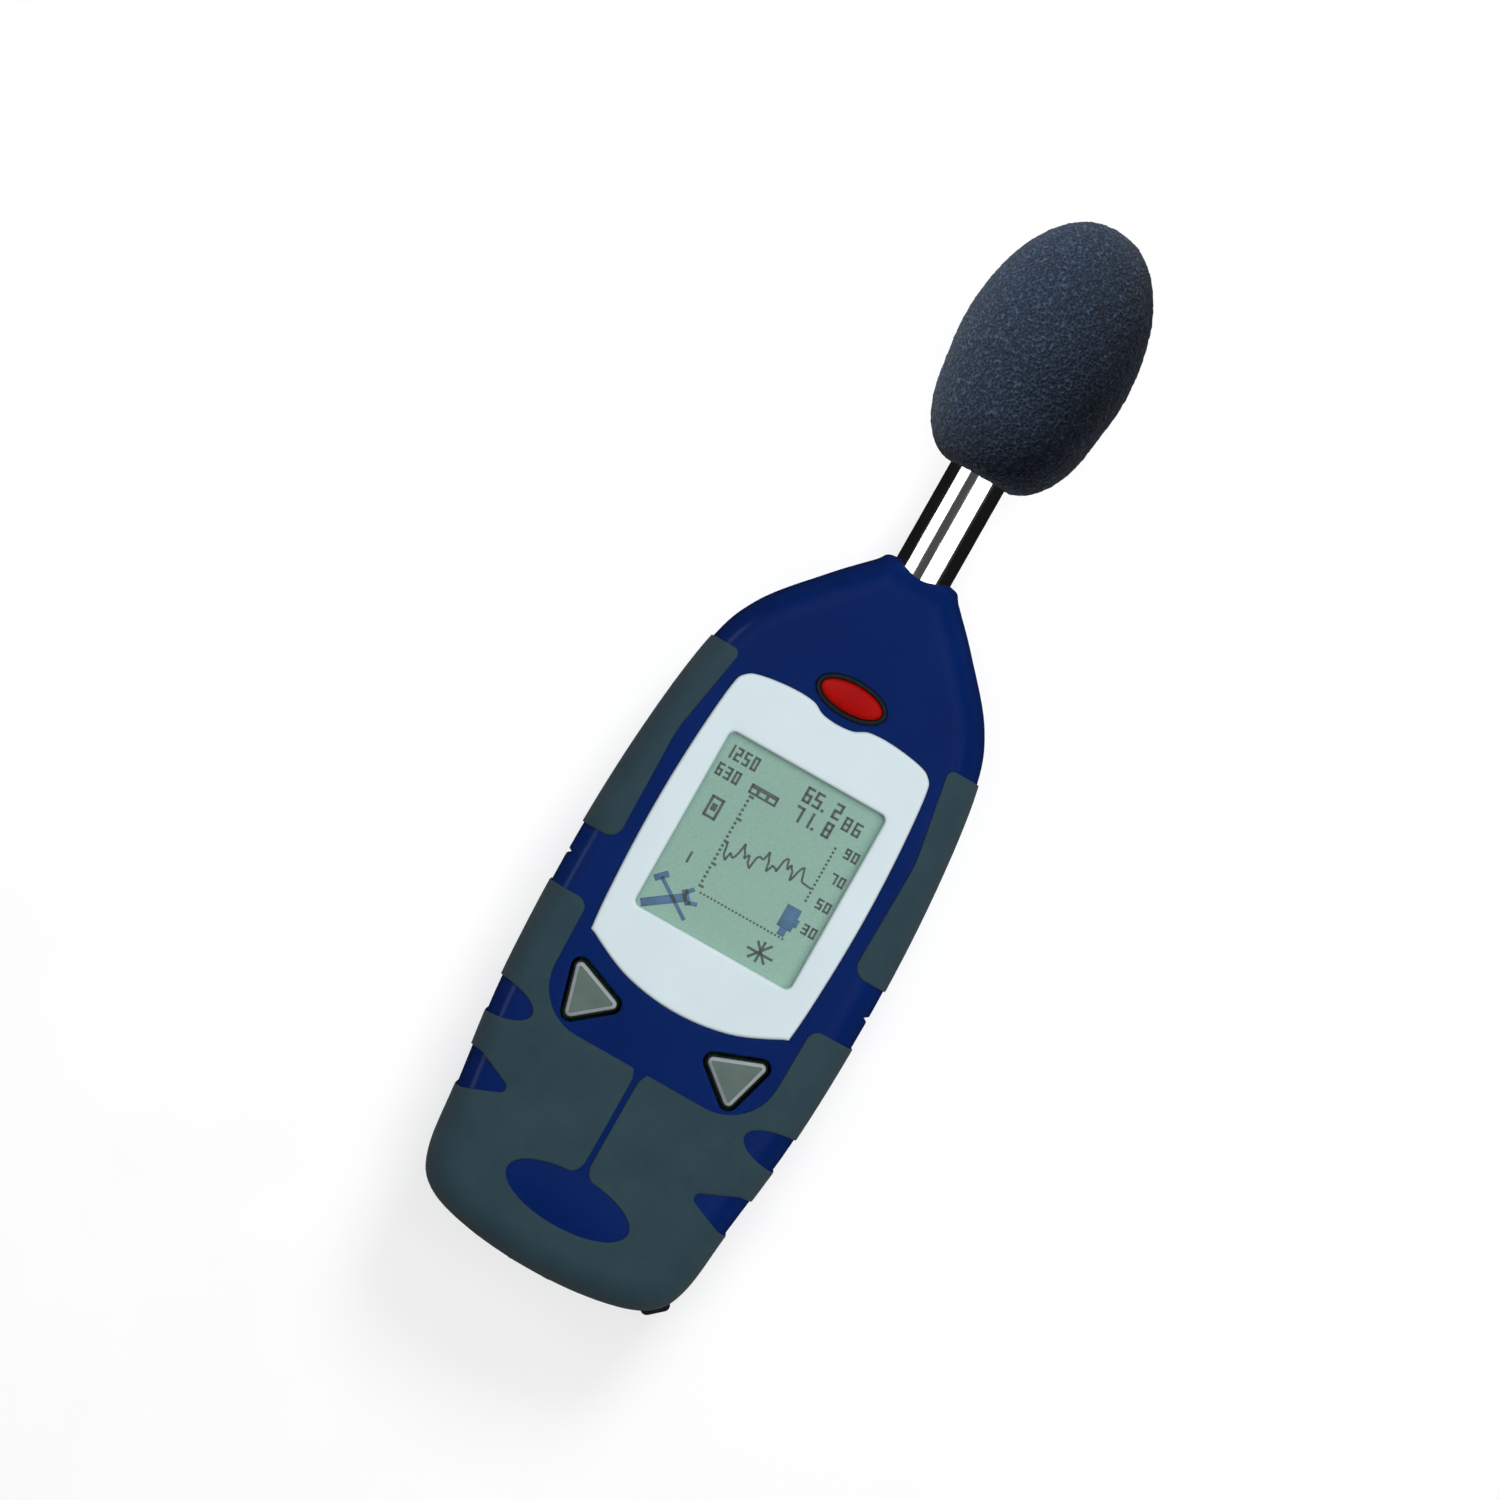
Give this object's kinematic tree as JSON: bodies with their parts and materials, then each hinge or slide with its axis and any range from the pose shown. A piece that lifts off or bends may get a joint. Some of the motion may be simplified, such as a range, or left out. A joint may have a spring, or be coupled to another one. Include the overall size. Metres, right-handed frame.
{
  "type": "sound level meter",
  "caption": "Handheld sound level meter: tapered case with rubber grips, graph display, arrow keys, battery bay, and a tube microphone under a slide-off foam windscreen.",
  "frame": {"origin": "bottom centre of the whole meter's box, lying on its back", "axes": "+Z out of the display, +Y towards the microphone, +X to the user's right"},
  "size_m": [0.0718, 0.247, 0.0382],
  "materials": {
    "case_blue": "satin",
    "grip_rubber": "matte",
    "bezel_white": "satin",
    "window_clear": "polished",
    "lcd_glass": "satin",
    "power_red": "satin",
    "key_grey": "satin",
    "black_plastic": "satin",
    "seal_black": "matte",
    "tube_chrome": "polished",
    "spring_steel": "satin",
    "brass": "satin",
    "board_green": "satin",
    "foam": "matte",
    "cell_wrap": "gloss",
    "insulator_white": "matte"
  },
  "bodies": {
    "meter": {"front_case": "case_blue", "rear_case": "case_blue", "front_boot": "grip_rubber", "rear_boot": "grip_rubber", "front_grip_left": "grip_rubber", "front_grip_right": "grip_rubber", "rear_grip_left": "grip_rubber", "rear_grip_right": "grip_rubber", "bezel": "bezel_white", "display_window": "window_clear", "lcd_glass": "lcd_glass", "backlight": "insulator_white", "lcd_frame": "black_plastic", "main_board": "board_green", "processor_chip": "black_plastic", "converter_chip": "black_plastic", "clock_cell": "spring_steel", "power_seal": "seal_black", "up_seal": "seal_black", "down_seal": "seal_black", "power_switch": "black_plastic", "up_switch": "black_plastic", "down_switch": "black_plastic", "usb_socket": "spring_steel", "output_jack": "black_plastic", "power_jack": "black_plastic", "battery_tray": "black_plastic", "battery_cell_1": "cell_wrap", "battery_cell_2": "cell_wrap", "battery_cell_3": "cell_wrap", "battery_spring_1": "spring_steel", "battery_spring_2": "spring_steel", "battery_spring_3": "spring_steel", "terminal_plate_left": "brass", "link_plate_bottom": "brass", "link_plate_top": "brass", "terminal_plate_right": "brass", "strap_lug": "black_plastic", "case_screw_1": "spring_steel", "case_screw_2": "spring_steel", "case_screw_3": "spring_steel", "case_screw_4": "spring_steel", "tripod_insert": "brass", "preamp_tube": "tube_chrome", "preamp_board": "board_green", "tube_seal": "seal_black", "tube_saddle": "black_plastic", "mic_insulator": "insulator_white", "mic_capsule": "tube_chrome", "mic_diaphragm": "brass", "mic_grid": "tube_chrome"},
    "power_key": {"power_button": "power_red"},
    "up_key": {"up_button": "key_grey"},
    "down_key": {"down_button": "key_grey"},
    "battery_cover": {"battery_door": "case_blue"},
    "connector_flap": {"connector_cover": "grip_rubber"},
    "foam_screen": {"windscreen": "foam"}
  },
  "joints": [
    {"name": "power_press", "type": "slide", "parent": "meter", "child": "power_key", "axis": [0, 0, -1], "range_m": [0, 0.0006], "stiffness_N_per_m": 2500},
    {"name": "up_press", "type": "slide", "parent": "meter", "child": "up_key", "axis": [0, 0, -1], "range_m": [0, 0.0006], "stiffness_N_per_m": 2500},
    {"name": "down_press", "type": "slide", "parent": "meter", "child": "down_key", "axis": [0, 0, -1], "range_m": [0, 0.0006], "stiffness_N_per_m": 2500},
    {"name": "battery_door_hinge", "type": "hinge", "parent": "meter", "child": "battery_cover", "pos_m": [0, -0.0449, 0.0018], "axis": [1, 0, 0], "range_deg": [0, 90]},
    {"name": "connector_cover_hinge", "type": "hinge", "parent": "meter", "child": "connector_flap", "pos_m": [0, -0.1235, 0.0078], "axis": [1, 0, 0], "range_deg": [0, 100]},
    {"name": "windscreen_pull", "type": "slide", "parent": "meter", "child": "foam_screen", "axis": [0, 1, 0], "range_m": [0, 0.065]}
  ]
}
